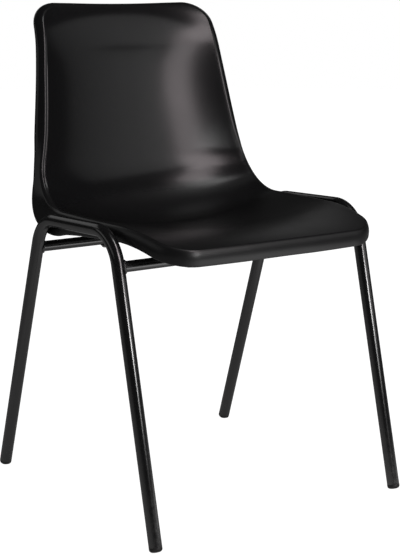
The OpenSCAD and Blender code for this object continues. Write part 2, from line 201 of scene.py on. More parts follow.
floor_material, tree = new_material("white_sheet")
rays = tree.add("ShaderNodeLightPath").outputs
where = tree.place()
from_middle = tree.add("ShaderNodeVectorMath", {0: where}, operation="LENGTH").outputs["Value"]
from_spot = tree.add("ShaderNodeVectorMath", {0: where, 1: lit_spot}, operation="DISTANCE").outputs["Value"]
# Painted light: what reflections see of the floor is emission, a painted glow of the sheet that fades with
# distance from the chair, plus a painted pool of light round the lit spot.
sheet = tree.spread(from_middle, sheet_fade_from, sheet_fade_to, sheet_mirrored, room_mirrored)
sheet = tree.math("ADD", sheet, tree.spread(from_spot, 0.0, lit_reach, lit_mirrored, 0.0))
mirrored = tree.math("MAXIMUM", rays["Is Glossy Ray"], rays["Is Transmission Ray"])
shown = tree.math("MULTIPLY", rays["Is Camera Ray"], sheet_shown)
seen = tree.plus(shown, mirrored, sheet)
paper = tree.add("ShaderNodeBsdfDiffuse", {"Color": paper_grey}).outputs[0]
glow = tree.add("ShaderNodeEmission", {"Strength": seen}).outputs[0]
both = tree.add("ShaderNodeAddShader", {0: paper, 1: glow}).outputs[0]
tree.add("ShaderNodeOutputMaterial", {"Surface": both})
floor_mesh.materials.append(floor_material)

world = bpy.data.worlds.new("studio")
scene.world = world
world.use_nodes = True
tree = Tree(world.node_tree)
rays = tree.add("ShaderNodeLightPath").outputs
mirrored = tree.math("MAXIMUM", rays["Is Glossy Ray"], rays["Is Transmission Ray"])
plain = tree.math("MULTIPLY", tree.math("SUBTRACT", 1.0, mirrored), fill_light)
lit = tree.plus(plain, mirrored, room_mirrored)
unseen = tree.math("MULTIPLY", tree.math("SUBTRACT", 1.0, rays["Is Camera Ray"]), lit)
strength = tree.math("ADD", rays["Is Camera Ray"], unseen)
sky = tree.add("ShaderNodeBackground", {"Color": (1, 1, 1, 1), "Strength": strength}).outputs[0]
tree.add("ShaderNodeOutputWorld", {"Surface": sky})

scene.view_settings.view_transform = "Standard"
print("floor radius", floor_r, "m, lit spot at", lit_spot[:2], "reaching", lit_reach, "m")

# %% [markdown]
# ## The lights
# The highlights say where the lamps were. Worked back from the shell's surface, the bright pixels of its
# back and elbow mirror one tall strip in front of the chair, a little to the right, which bends over the
# chair at its top and is faintly rosy. Each leg shows a low box in front of the strip, which fades out
# below. The rest of the back mirrors a wide soft glow at the right. The rails, the rim and the rear legs
# show dim panels behind the chair and at its sides. A fading strip could be a row of small lamps, but one
# rectangle with a gradient along its length gives the same fade.

# %% Area lamps
lamp_reach = 2.0
aim = Vector((0, 0, 0.5))


def toward(azimuth, elevation):
    """A point on the ball of lamps round the aim, with azimuth 0 in front and 90 towards +X."""
    a, e = radians(azimuth), radians(elevation)
    return Vector((sin(a) * cos(e), -cos(a) * cos(e), sin(e))) * lamp_reach + aim


def panel_lamp(name, low, high, width, radiance, levels, tint):
    """A rectangular lamp from a low point to a high one, facing the aim, with levels of light as pairs
    (share of its length, share of its radiance)."""
    length = (high - low).length
    up = (high - low).normalized()
    centre = (low + high) / 2
    away = centre - aim
    away = (away - up * away.dot(up)).normalized()
    data = bpy.data.lights.new(name, "AREA")
    data.shape = "RECTANGLE"
    data.size, data.size_y = width, length
    data.energy = radiance * pi * width * length
    data.color = tint
    data.use_nodes = True
    tree = Tree(data.node_tree)
    spot = tree.add("ShaderNodeNewGeometry").outputs["Parametric"]
    share = tree.add("ShaderNodeSeparateXYZ", {"Vector": spot}).outputs["Y"]
    ramp = tree.add("ShaderNodeValToRGB", {"Fac": share})
    stops = ramp.color_ramp.elements
    while len(stops) < len(levels):
        stops.new(0.5)
    for stop, (place, level) in zip(stops, levels):
        stop.position = place
        stop.color = (level, level, level, 1)
    light = tree.add("ShaderNodeEmission", {"Strength": ramp.outputs["Color"]}).outputs[0]
    tree.add("ShaderNodeOutputLight", {"Surface": light})
    lamp = bpy.data.objects.new(name, data)
    facing = Matrix((up.cross(away), up, away)).transposed().to_4x4()
    lamp.matrix_world = Matrix.Translation(centre) @ facing
    lamp.visible_camera = False
    scene.collection.objects.link(lamp)


# %% Lamps
even = [(0.0, 1.0), (1.0, 1.0)]
low_fade = [(0.0, 0.0), (0.2, 0.12), (0.45, 0.4), (0.8, 1.0), (1.0, 1.0)]
strip_fade = [(0.0, 0.25), (0.15, 0.68), (0.25, 0.7), (0.45, 1.0), (1.0, 1.0)]
edge_fade = [(0.0, 0.0), (0.25, 1.0), (1.0, 1.0)]
lean_fade = [(0.0, 0.9), (0.4, 0.8), (1.0, 1.0)]
glow_fade = [(0.0, 1.0), (0.2, 0.85), (0.4, 0.6), (0.6, 0.45), (0.8, 0.3), (1.0, 0.15)]
white, rosy = (1.0, 1.0, 1.0), (1.0, 0.9, 0.925)

# Each row: name, low end, high end, width, radiance, levels, tint.
lamps = [
    ("low_box", (0.20, -1.55, 0.33), (0.20, -1.55, 0.65), 0.31, 17.0, low_fade, white),
    ("tall_strip", (0.395, -1.9, 0.62), (0.395, -1.9, 2.2), 0.47, 4.6, strip_fade, rosy),
    ("edge_strip", (0.10, -1.9, 1.15), (0.10, -1.9, 2.2), 0.12, 4.2, edge_fade, rosy),
    ("leaning_strip", (0.42, -1.9, 2.2), (0.64, -1.0, 2.40), 0.47, 4.4, lean_fade, rosy),
    ("top_strip", (0.64, -1.0, 2.40), (0.38, -0.50, 2.50), 0.50, 2.8, even, white),
    ("side_glow", (0.66, -1.9, 1.10), (1.85, -0.75, 1.10), 1.26, 0.87, glow_fade, white),
    ("overhead", toward(45, 66), toward(100, 84), 0.90, 0.15, even, white),
    ("left_card", toward(-105, 12), toward(-105, 26), 2.40, 0.32, even, white),
    ("rear_card", (1.42, 1.17, 0.80), (1.42, 1.17, 1.40), 0.55, 0.19, even, white),
    ("rear_panel", toward(187, 20), toward(187, 42), 1.95, 0.34, even, white),
]
for name, low, high, width, radiance, levels, tint in lamps:
    panel_lamp(name, Vector(low), Vector(high), width, radiance, levels, tint)

# %% [markdown]
# ## Shared effects
# Four effects are used by more than one finish, so each is a node group with its own settings in every
# material. Grain is the fine etched texture of an injection mould. Marks are the hair scratches and
# smudges of a chair that is stacked and sat on. Dust gathers low down, and on faces that look up. Peel is
# the slight waviness of sprayed or powder-coated paint.

# %% Grain of a mould
grain_group, tree, given, out = new_group(
    "mould_grain",
    {"Cell Size": 0.0006, "Evenness": 0.5},
    {"Height": "NodeSocketFloat", "Shade": "NodeSocketFloat"},
)
where = tree.place()
scale = tree.math("DIVIDE", 1.0, given["Cell Size"])
cells = tree.add("ShaderNodeTexVoronoi", {"Vector": where, "Scale": scale}, feature="SMOOTH_F1")
pits = tree.math("MULTIPLY", cells.outputs["Distance"], given["Evenness"])
rough = tree.noise(where, tree.math("MULTIPLY", scale, 0.45), 3.0, 0.6)
height = tree.math("ADD", pits, rough)
tree.feed(out["Height"], height)
tree.feed(out["Shade"], tree.spread(height, 0.35, 1.1))

# %% Marks of use
marks_group, tree, given, out = new_group(
    "use_marks",
    {"Spacing": 0.05, "Length": 8.0, "Amount": 0.5},
    {"Scratch": "NodeSocketFloat", "Smudge": "NodeSocketFloat"},
)
where = tree.place()
bent = tree.add("ShaderNodeTexNoise", {"Vector": where, "Scale": 3.0, "Detail": 1.0}).outputs["Color"]
pushed = tree.add("ShaderNodeVectorMath", {0: bent, "Scale": 0.08}, operation="SCALE").outputs["Vector"]
swung = tree.add("ShaderNodeVectorMath", {0: where, 1: pushed}, operation="ADD").outputs["Vector"]
lines = []
for turn in ((0.3, 0.2, 0.5), (1.1, 0.7, 2.1)):
    turned = tree.add("ShaderNodeMapping", {"Vector": swung, "Rotation": turn}).outputs["Vector"]
    parts = tree.add("ShaderNodeSeparateXYZ", {"Vector": turned}).outputs
    across = tree.math("DIVIDE", parts["X"], given["Spacing"])
    along = tree.math("DIVIDE", parts["Y"], tree.math("MULTIPLY", given["Spacing"], given["Length"]))
    cell = tree.add("ShaderNodeCombineXYZ", {"X": across, "Y": along, "Z": parts["Z"]}).outputs["Vector"]
    ridge = tree.noise(cell, 6.0, 2.0, 0.45)
    line = tree.math("ABSOLUTE", tree.math("SUBTRACT", ridge, 0.5))
    lines.append(tree.spread(line, 0.0, 0.004, 1.0, 0.0))
patch = tree.spread(tree.noise(where, 7.0, 2.0, 0.5), 0.52, 0.68)
scratch = tree.math("MULTIPLY", tree.math("MAXIMUM", lines[0], lines[1]), patch)
tree.feed(out["Scratch"], tree.math("MULTIPLY", scratch, given["Amount"]))
smudge = tree.spread(tree.noise(where, 11.0, 3.0, 0.55), 0.42, 0.66)
tree.feed(out["Smudge"], tree.math("MULTIPLY", smudge, given["Amount"]))

# %% Dust
dust_group, tree, given, out = new_group(
    "settled_dust",
    {"Reach": 0.05, "On Top": 0.3, "Amount": 0.5},
    {"Mask": "NodeSocketFloat"},
)
spot = tree.add("ShaderNodeNewGeometry").outputs
low = tree.spread(tree.height_of(spot["Position"]), 0.0, given["Reach"], 1.0, 0.0)
flat = tree.spread(tree.height_of(spot["Normal"]), 0.55, 1.0)
flat = tree.math("MULTIPLY", flat, given["On Top"])
patchy = tree.spread(tree.noise(spot["Position"], 90.0, 4.0, 0.65), 0.35, 0.7)
mask = tree.math("MULTIPLY", tree.math("MAXIMUM", low, flat), patchy)
tree.feed(out["Mask"], tree.math("MULTIPLY", mask, given["Amount"]))

# %% Paint peel
peel_group, tree, given, out = new_group(
    "paint_peel",
    {"Wave": 0.003, "Fine": 0.3},
    {"Height": "NodeSocketFloat"},
)
where = tree.place()
scale = tree.math("DIVIDE", 1.0, given["Wave"])
waves = tree.noise(where, scale, 1.0, 0.4)
fine = tree.math("MULTIPLY", tree.noise(where, tree.math("MULTIPLY", scale, 5.0), 2.0, 0.5), given["Fine"])
tree.feed(out["Height"], tree.math("ADD", waves, fine))

# %% [markdown]
# ## Shell plastic
# Polypropylene coloured black in the mass, with the etched grain of its mould. It is satin: the grain
# scatters a highlight. In the photograph the seat mirrors far less than the back, so it is duller, and
# hands and stacking have rubbed the rim a little smoother. The base is nearly black and barely varies; the
# life of the surface is in its roughness and its bump. A picture of plastic could be wrapped round the
# shell, but would stretch in the dish, and noise has one grain everywhere. `worn` is painted on the shell's
# mesh, 1 at the rim.

# %% Shell plastic
seat_top, back_from, seat_dulling = 0.428, 0.45, 0.14

shell_plastic, tree = new_material("shell_plastic")
where = tree.place()
grain = tree.use(grain_group, Cell_Size=0.0007, Evenness=0.6)
marks = tree.use(marks_group, Spacing=0.03, Length=9.0, Amount=0.35)
dust = tree.use(dust_group, Reach=0.01, On_Top=0.12, Amount=0.35)["Mask"]
worn = tree.add("ShaderNodeAttribute", attribute_name="worn").outputs["Fac"]
cloud = tree.noise(where, 9.0, 3.0, 0.6)
colour = tree.blend(cloud, (0.0042, 0.0042, 0.0047, 1), (0.0062, 0.0062, 0.0066, 1))
colour = tree.over(colour, (0.009, 0.009, 0.0095, 1), grain["Shade"], 0.35)
colour = tree.over(colour, (0.022, 0.022, 0.022, 1), worn, 0.25)
colour = tree.over(colour, (0.05, 0.05, 0.05, 1), marks["Scratch"], 0.5)
colour = tree.over(colour, (0.18, 0.17, 0.16, 1), dust, 0.12)
gloss = tree.plus(0.13, grain["Shade"], 0.04)
gloss = tree.plus(gloss, cloud, 0.05)
gloss = tree.plus(gloss, worn, -0.03)
gloss = tree.plus(gloss, marks["Smudge"], 0.06)
gloss = tree.math("ADD", gloss, tree.spread(tree.height_of(where), seat_top, back_from, seat_dulling, 0.0))
wave = tree.bump(tree.noise(where, 14.0, 1.0, 0.3), 0.15, 0.0008)
height = tree.plus(grain["Height"], marks["Scratch"], -0.2)
relief = tree.bump(height, 0.35, 0.00006, Normal=wave)
tree.surface(shell_plastic, {"Base Color": colour, "Roughness": gloss, "Normal": relief, "IOR": 1.49})

# %% [markdown]
# ## Frame enamel
# The tubes are enamelled gloss black after welding. The paint mirrors the low box as a thin bright line
# down each leg. Its surface has a slight peel, so the line wavers, and the legs carry faint scuffs, with a
# trace of dust low down where shoes and brooms reach. A clear coat could be laid over a black base, but
# enamel shows no depth, so one glossy layer is enough.

# %% Frame enamel
frame_enamel, tree = new_material("frame_enamel")
where = tree.place()
peel = tree.use(peel_group, Wave=0.004, Fine=0.25)["Height"]
marks = tree.use(marks_group, Spacing=0.02, Length=6.0, Amount=0.5)
dust = tree.use(dust_group, Reach=0.12, On_Top=0.15, Amount=0.5)["Mask"]
tone = tree.noise(where, 12.0, 2.0, 0.5)
colour = tree.blend(tone, (0.0035, 0.0035, 0.0038, 1), (0.0055, 0.0055, 0.0060, 1))
colour = tree.over(colour, (0.06, 0.06, 0.06, 1), marks["Scratch"], 0.5)
colour = tree.over(colour, (0.20, 0.19, 0.17, 1), dust, 0.10)
gloss = tree.plus(0.17, marks["Smudge"], 0.06)
gloss = tree.plus(gloss, dust, 0.25)
height = tree.plus(peel, marks["Scratch"], -0.3)
finish = {
    "Base Color": colour,
    "Roughness": gloss,
    "Normal": tree.bump(height, 0.25, 0.00012),
    "IOR": 1.6,
    "Specular IOR Level": 1.0,
}
tree.surface(frame_enamel, finish)

# %% [markdown]
# ## Foot plastic, screw steel and washer nylon
# The feet are soft black plastic, dull and greyed by the floor. The screws are zinc-plated steel with the
# fine circular marks of their heading die. The washers are grey-black nylon, a little waxy. Plain colours
# might do for parts this small, but close views need the grain, and the groups give it in a line.

# %% Foot plastic
foot_plastic, tree = new_material("foot_plastic")
grain = tree.use(grain_group, Cell_Size=0.0005, Evenness=0.4)
marks = tree.use(marks_group, Spacing=0.01, Length=4.0, Amount=0.8)
dust = tree.use(dust_group, Reach=0.012, On_Top=0.1, Amount=0.9)["Mask"]
colour = tree.blend(grain["Shade"], (0.008, 0.008, 0.0085, 1), (0.015, 0.015, 0.0155, 1))
colour = tree.over(colour, (0.07, 0.07, 0.07, 1), marks["Scratch"], 0.4)
colour = tree.over(colour, (0.16, 0.15, 0.14, 1), dust, 0.3)
gloss = tree.plus(0.48, dust, 0.25)
relief = tree.bump(grain["Height"], 0.4, 0.00005)
tree.surface(foot_plastic, {"Base Color": colour, "Roughness": gloss, "Normal": relief, "IOR": 1.49})

# %% Screw steel
screw_steel, tree = new_material("screw_steel")
where = tree.place()
rings = tree.add("ShaderNodeTexWave", {"Vector": where, "Scale": 900.0, "Distortion": 3.0}, wave_type="RINGS")
stain = tree.spread(tree.noise(where, 600.0, 3.0, 0.6), 0.45, 0.75)
colour = tree.blend(stain, (0.60, 0.60, 0.58, 1), (0.44, 0.43, 0.40, 1))
gloss = tree.plus(0.26, stain, 0.18)
relief = tree.bump(rings.outputs["Fac"], 0.2, 0.00003)
tree.surface(screw_steel, {"Base Color": colour, "Roughness": gloss, "Metallic": 1.0, "Normal": relief})

# %% Washer nylon
washer_nylon, tree = new_material("washer_nylon")
grain = tree.use(grain_group, Cell_Size=0.0004, Evenness=0.3)
colour = tree.blend(grain["Shade"], (0.020, 0.020, 0.021, 1), (0.028, 0.028, 0.029, 1))
gloss = tree.plus(0.40, grain["Shade"], 0.08)
relief = tree.bump(grain["Height"], 0.2, 0.00004)
tree.surface(washer_nylon, {"Base Color": colour, "Roughness": gloss, "Normal": relief, "IOR": 1.53})

# %% [markdown]
# ## Main sizes
# The pieces below repeat the sizes of the CAD source, in metres, because each stands where its solid
# stands. The side frame is drawn in its own plane as points (y, z), and then leans out by its splay.

# %% Sizes of the frame
tube_r, tube_wall = 0.0095, 0.0015
foot_span, corner_z = 0.452, 0.430
front_rake, rear_rake, rail_fall = radians(13.7), radians(18.5), radians(2.1)
foot_splay = 0.0018
bend_r = 0.055
cross_r = 0.008
front_cross_drop, rear_cross_drop = 0.047, 0.0454
foot_cap_h = 0.007
seat_w, rim_r, side_gap = 0.390, 0.0073, 0.006
rail_x = seat_w / 2 + rim_r + side_gap + tube_r
splay = asin(foot_splay / corner_z)

front_foot = np.array([-foot_span / 2, 0.0])
rear_foot = np.array([foot_span / 2, 0.0])
front_corner = front_foot + corner_z * np.array([tan(front_rake), 1.0])
rear_corner_z = corner_z - (rear_foot[0] - front_corner[0]) * tan(rail_fall)
rear_corner_z /= 1 - tan(rear_rake) * tan(rail_fall)
rear_corner = rear_foot + rear_corner_z * np.array([-tan(rear_rake), 1.0])
front_cross = front_foot + (corner_z - front_cross_drop) * np.array([tan(front_rake), 1.0])
rear_cross = rear_foot + (rear_corner_z - rear_cross_drop) * np.array([-tan(rear_rake), 1.0])
print("corners", front_corner.round(4), rear_corner.round(4))
print("cross rails", front_cross.round(4), rear_cross.round(4))

# %% [markdown]
# ## The shell's surface
# The seat and back are one sheet. Its side line is a chain of arcs: the front edge's fall, the level seat,
# the elbow, the straight back and the curl at the top. At each distance b along that line the sheet is
# dished between its two rim lines, and the width, the depth and the skirt change smoothly between a few
# stations. The sheet could be sculpted, but this is the rule that made the CAD solid, so the finer mesh
# lies on it.

# %% Side line and stations
front_fall_r, front_fall = 0.355, radians(21)
elbow_r, back_lean, back_flat = 0.084, radians(11.6), 0.170
top_curl_r, top_curl = 0.161, radians(26)
front_overhang, elbow_setback, seat_rise = 0.0953, 0.0323, 0.0046
dish_power = 2.2

back_heading = radians(90) - back_lean
front_drop = front_fall_r * (1 - cos(front_fall))
rim_start = np.array([front_corner[0] - front_overhang, corner_z + seat_rise - front_drop])
seat_flat = rear_corner[0] - elbow_setback - rim_start[0] - front_fall_r * sin(front_fall)
rim_runs = [
    (front_fall_r * front_fall, front_fall, 0.0),
    (seat_flat, 0.0, 0.0),
    (elbow_r * back_heading, 0.0, back_heading),
    (back_flat, back_heading, back_heading),
    (top_curl_r * top_curl, back_heading, back_heading - top_curl),
]
rim_len = sum(run[0] for run in rim_runs)
station_shares = np.array([0, 0.2, 0.4, 0.5, 0.58, 0.68, 0.85, 1])


def between(sizes, shares):
    """Values between neighbouring sizes: 0 is the first size, 1 the second, 1.5 halfway to the third."""
    return np.interp(shares, range(len(sizes)), sizes)


widths = between([0.356, 0.390, 0.345, 0.300], [0, 0.85, 1, 1.12, 1.4, 2, 2.6, 3])
dishes = between([-0.002, 0.038, 0.0305, 0.008], [0, 0.53, 0.84, 1, 1.04, 1.29, 2, 3])
skirts = between([0.0185, 0.016, 0.038, 0.012, 0.013], [0, 1, 1.42, 2, 2.91, 2.88, 3, 4])
skirt_angles = np.radians([69, 78.5, 89.5, 76.5, 59, 41.5, 30, 31])
print("rim line", round(rim_len, 4), "m, seat flat", round(seat_flat, 4), "m")


# %% Surface functions
def at_share(values, share):
    """A smooth curve through the stations' values."""
    share = np.clip(share, 0, 1)
    count = len(station_shares)
    k = np.clip(np.searchsorted(station_shares, share, side="right") - 1, 0, count - 2)
    low, high = np.maximum(np.arange(count) - 1, 0), np.minimum(np.arange(count) + 1, count - 1)
    slopes = (values[high] - values[low]) / (station_shares[high] - station_shares[low])
    gap = station_shares[k + 1] - station_shares[k]
    t = (share - station_shares[k]) / gap
    start = (2 * t**3 - 3 * t**2 + 1) * values[k] + (t**3 - 2 * t**2 + t) * gap * slopes[k]
    end = (3 * t**2 - 2 * t**3) * values[k + 1] + (t**3 - t**2) * gap * slopes[k + 1]
    return start + end


def travel(length, first, last):
    """What a run covers as (y, z), turning evenly from its first heading to its last."""
    bend = last - first
    straight = np.abs(bend) < 1e-9
    safe = np.where(straight, 1.0, bend)
    y = np.where(straight, length * np.cos(first), length / safe * (np.sin(last) - np.sin(first)))
    z = np.where(straight, length * np.sin(first), length / safe * (np.cos(first) - np.cos(last)))
    return y, z


def rim_at(b):
    """y, z and heading of the rim line at distances b from the front edge."""
    b = np.asarray(b, float)
    y, z, heading = np.zeros((3, *b.shape))
    corner, done = rim_start, 0.0
    for number, (length, first, last) in enumerate(rim_runs):
        here = (b >= done) | (number == 0)
        part = (b[here] - done) / length
        turned = first + (last - first) * part
        dy, dz = travel(b[here] - done, np.full(part.shape, first), turned)
        y[here], z[here], heading[here] = corner[0] + dy, corner[1] + dz, turned
        corner, done = corner + np.array(travel(length, first, last)), done + length
    return y, z, heading


def skin(a, b):
    """The surface that the sitter touches, at distance a from the middle and b along the rim line."""
    y, z, heading = rim_at(b)
    half = at_share(widths, b / rim_len) / 2
    drop = at_share(dishes, b / rim_len) * (1 - (np.abs(a) / half) ** dish_power)
    return np.stack([a, y + np.sin(heading) * drop, z - np.cos(heading) * drop], -1)


def unit(v):
    return v / np.linalg.norm(v, axis=-1, keepdims=True)


def skin_up(a, b, step=0.0005):
    return unit(np.cross(skin(a + step, b) - skin(a - step, b), skin(a, b + step) - skin(a, b - step)))


print("seat at the middle:", skin(np.array([0.0]), np.array([0.25])).round(4))

# %% [markdown]
# ## The shell's mesh
# The mesh is one closed skin: the upper face, the rolled rim, the skirt, its rounded edge, and the same
# way back inside, one wall further in. A solidify modifier would also give it a wall, but would thicken
# the roll unevenly, and its edge would be square. Building the rings one by one keeps the wall even and lets
# the skirt end in a full round, as a moulded edge does.

# %% Grid of the shell
wall = 0.004
front_corner_r, top_corner_r = 0.042, 0.033
front_bow, top_crown = 0.0027, 0.0009
columns, corner_rows, middle_rows = 72, 14, 130


def corner_inset(r, b):
    return np.where(b < r, r - np.sqrt(np.maximum(r * r - (r - b) ** 2, 0)), 0.0)


curve = 1 - np.cos(np.linspace(0, pi / 2, corner_rows + 1))
places = np.concatenate([
    front_corner_r * curve[:-1],
    np.linspace(front_corner_r, rim_len - top_corner_r, middle_rows + 1),
    rim_len - top_corner_r * curve[-2::-1],
])
rows = len(places)
half_widths = at_share(widths, places / rim_len) / 2
half_widths -= corner_inset(front_corner_r, places)
half_widths -= corner_inset(top_corner_r, rim_len - places)
bows = front_bow * np.maximum(1 - places / front_corner_r, 0)
bows -= top_crown * np.maximum(1 - (rim_len - places) / top_corner_r, 0)
shares = np.linspace(-1, 1, columns + 1)
grid_a = half_widths[:, None] * shares[None, :]
grid_b = places[:, None] + bows[:, None] * shares[None, :] ** 2
tops = skin(grid_a, grid_b)
ups = skin_up(grid_a, grid_b)
print("shell grid", rows, "by", columns + 1)

# %% Edge of the shell
edge = [(0, j) for j in range(columns + 1)]
edge += [(i, columns) for i in range(1, rows)]
edge += [(rows - 1, j) for j in range(columns - 1, -1, -1)]
edge += [(i, 0) for i in range(rows - 2, 0, -1)]
at = tuple(np.array(edge).T)
edge_tops, edge_ups, edge_b = tops[at], ups[at], grid_b[at]
along = unit(np.roll(edge_tops, -1, axis=0) - np.roll(edge_tops, 1, axis=0))
outward = unit(np.cross(along, edge_ups))
upward = np.cross(outward, along)
edge_heading = rim_at(edge_b)[2]
edge_z = np.stack([np.zeros(len(edge_b)), -np.sin(edge_heading), np.cos(edge_heading)], -1)
tilt = np.arcsin(np.clip((outward * edge_z).sum(-1), -1, 1))
edge_share = edge_b / rim_len
full_turn = tilt + at_share(skirt_angles, edge_share)
skirt_len = at_share(skirts, edge_share)
print("rim points:", len(edge), "turning", np.degrees([full_turn.min(), full_turn.max()]).round(), "degrees")

# %% [markdown]
# ## The shape of the rim
# In the photograph the rim shows how it turns. Round the front it has a tight crest and then a full, slowly
# turning face. Up the sides of the back thin bright lines follow it, two at the left and one at the right.
# They are the crests of a fine step, where the roll turns out, back a little and out again, and outside them
# the rim curls over. An even roll would be simpler, but would show one line on both sides. So the rim's
# outline is a chain of five bends, one set for the front and one for the back, and each edge point takes its
# share of both.

# %% Bends of the rim
curl_r, lip_crest_r = 0.0065, 0.0050
crest_reach, face_over = 0.8, radians(22)
crest_parts, face_parts = (0.35, 0.3, 0.35), (0.8, 0.2)
roll_parts, step_parts = (0.05, 0.31, 0.64), (0.66, -0.57, 0.91)
ring_steps = (5, 8, 10, 6, 8)


def ramp(low, high):
    """0 up to one share of the rim line and 1 from the next, for every edge point."""
    return np.clip((edge_share - low) / (high - low), 0, 1)


curl_turn = at_share(np.radians([12, 12, 15, 35, 75, 90, 90, 85]), edge_share)
front_share = 1 - ramp(0.14, 0.34)
step_share = ramp(0.5, 0.6) * (1 - ramp(0.83, 0.93))


def front_bends():
    """(length, turning) of five bends from crest to lip, as low as the solid's skirt ends."""
    first, last = crest_reach * full_turn, full_turn + face_over
    down = rim_r * (1 - np.cos(full_turn)) + (skirt_len - wall / 4) * np.sin(full_turn)
    face_r = (down - lip_crest_r * (1 - np.cos(first))) / (np.cos(first) - np.cos(last))
    crest = [(lip_crest_r * first * part, first * part) for part in crest_parts]
    return crest + [(face_r * (last - first) * part, (last - first) * part) for part in face_parts]


def back_bends(step):
    """The same for the back: a roll with a step of the given strength, a flat and a curl."""
    turns = [full_turn * ((1 - step) * p + step * q) for p, q in zip(roll_parts, step_parts)]
    roll = [(rim_r * full_turn * part, turn) for part, turn in zip(roll_parts, turns)]
    flat = skirt_len - curl_r * np.sin(curl_turn) - wall / 2 * np.cos(curl_turn)
    return roll + [(flat, np.zeros_like(flat)), (curl_r * curl_turn, curl_turn)]


def rim_rings(step, inward):
    """Rings of points from the crest to the lip, and the last one's outward way along the sheet."""
    out = down = turn = np.zeros(len(edge))
    rings = []
    for front, back, steps in zip(front_bends(), back_bends(step), ring_steps):
        length = front_share * front[0] + (1 - front_share) * back[0]
        turning = front_share * front[1] + (1 - front_share) * back[1]
        for k in range(1, steps + 1):
            part = k / steps
            ahead, below = travel(length * part, turn, turn + turning * part)
            a = (turn + turning * part)[:, None]
            facing = np.sin(a) * outward + np.cos(a) * upward
            spots = edge_tops + (out + ahead)[:, None] * outward - (down + below)[:, None] * upward
            rings.append(spots - inward * facing)
        ahead, below = travel(length, turn, turn + turning)
        out, down, turn = out + ahead, down + below, turn + turning
    onward = np.cos(turn)[:, None] * outward - np.sin(turn)[:, None] * upward
    return rings, onward


print("edge points with a step:", int((step_share > 0).sum()), "of", len(edge))

# %% Rings of the rim
outer, onward = rim_rings(step_share, 0.0)
inner, _ = rim_rings(np.zeros_like(step_share), wall)
lip_steps = 8
lip_middle, lip_half = (outer[-1] + inner[-1]) / 2, (outer[-1] - inner[-1]) / 2
lip_turns = [pi * k / lip_steps for k in range(1, lip_steps)]
lip = [lip_middle + cos(a) * lip_half + sin(a) * wall / 2 * onward for a in lip_turns]
rings = outer + lip + inner[::-1]
print("rim rings", len(rings), "of", len(edge), "points")

# %% [markdown]
# ## Bosses under the seat
# Four bosses stand on the cross rails and take the screws. Each is a slightly tapered round post whose
# foot is saddled to the round rail, with four thin ribs running out to the underside. A boolean could join
# them to the shell, but would break up its even mesh. So they root inside the moulding's wall, where their
# upper ends never show.

# %% Underside of the seat
screw_x, root_depth, halvings = 0.1, 0.75 * wall, 30


def skin_b(x, y):
    """Distances along the rim line at which the seat passes over places (x, y), found by halving."""
    low, high = np.zeros(x.shape), np.full(x.shape, rim_runs[0][0] + seat_flat + rim_runs[2][0])
    for _ in range(halvings):
        middle_b = (low + high) / 2
        short = skin(x, middle_b)[..., 1] < y
        low, high = np.where(short, middle_b, low), np.where(short, high, middle_b)
    return (low + high) / 2


def underside_z(x, y):
    """Heights inside the wall, near its underside, over places."""
    return skin(x, skin_b(x, y))[..., 2] - root_depth


print("underside over a front screw:", underside_z(np.array([screw_x]), front_cross[0]).round(4))

# %% Boss parts
boss_r, boss_draft, boss_wrap, boss_foot_edge = 0.010, 0.00075, 0.003, 0.0007
rib_root, rib_reach, rib_t, rib_rise = 0.8 * boss_r, 0.020, 0.0025, 0.35
seat_fit = 0.00015


def ring_faces(rings_count, steps, start=0, closed=False):
    """Faces between rings of points that follow each other from point number start on."""
    faces = []
    for i in range(rings_count if closed else rings_count - 1):
        near, far = start + i * steps, start + (i + 1) % rings_count * steps
        for k in range(steps):
            n = (k + 1) % steps
            faces.append((near + k, near + n, far + n, far + k))
    return faces


def add_boss(points, faces, x, rail):
    """Post with a saddled foot: rings from the foot up into the wall."""
    steps = 48
    turn = np.arange(steps) * 2 * pi / steps
    saddle_r = cross_r + seat_fit
    low_z = rail[1] + cross_r - boss_wrap
    start = len(points)
    radii = (boss_r - boss_foot_edge, boss_r, boss_r + boss_draft / 2, boss_r + boss_draft)
    for level, r in enumerate(radii):
        px, py = x + r * np.cos(turn), rail[0] + r * np.sin(turn)
        foot_z = np.maximum(low_z, rail[1] + np.sqrt(np.maximum(saddle_r**2 - (py - rail[0]) ** 2, 0)))
        top_z = underside_z(px, py)
        z = (foot_z, foot_z + boss_foot_edge, (foot_z + top_z) / 2, top_z)[level]
        points += list(np.stack([px, py, z], -1))
    faces += ring_faces(len(radii), steps, start)
    faces.append(range(start, start + steps)[::-1])


def add_rib(points, faces, x, rail, way):
    """Thin rib from the post out to the underside, its lower edge rising outwards."""
    steps = 6
    out = np.array([cos(way), sin(way)])
    side = np.array([-sin(way), cos(way)]) * rib_t / 2
    low_z = rail[1] + cross_r - boss_wrap
    reach = np.linspace(rib_root, rib_reach, steps + 1)
    spots = np.array([x, rail[0]]) + reach[:, None] * out
    ceiling = underside_z(spots[:, 0], spots[:, 1])
    start_z = low_z + rib_rise * (ceiling[0] - low_z)
    end_z = ceiling[-1] + wall - root_depth
    floor_z = start_z + (end_z - start_z) * np.maximum((reach - boss_r) / (rib_reach - boss_r), 0)
    start = len(points)
    for k in range(steps + 1):
        for sign in (-1, 1):
            for z in (floor_z[k], max(ceiling[k], floor_z[k])):
                points.append((*(spots[k] + sign * side), z))
    for k in range(steps):
        a, b = start + 4 * k, start + 4 * (k + 1)
        faces.append((a, a + 1, b + 1, b))
        faces.append((a + 2, b + 2, b + 3, a + 3))
        faces.append((a, b, b + 2, a + 2))


print("bosses", 2 * boss_r, "m wide at the foot, ribs out to", rib_reach, "m")

# %% [markdown]
# ## Putting the shell together
# The grids and rings become one mesh from plain lists of points and faces, with the upper and lower skins
# joined through the rings of the rim. The rim gets a `worn` attribute, strongest on the middle of the roll,
# for its material to read.

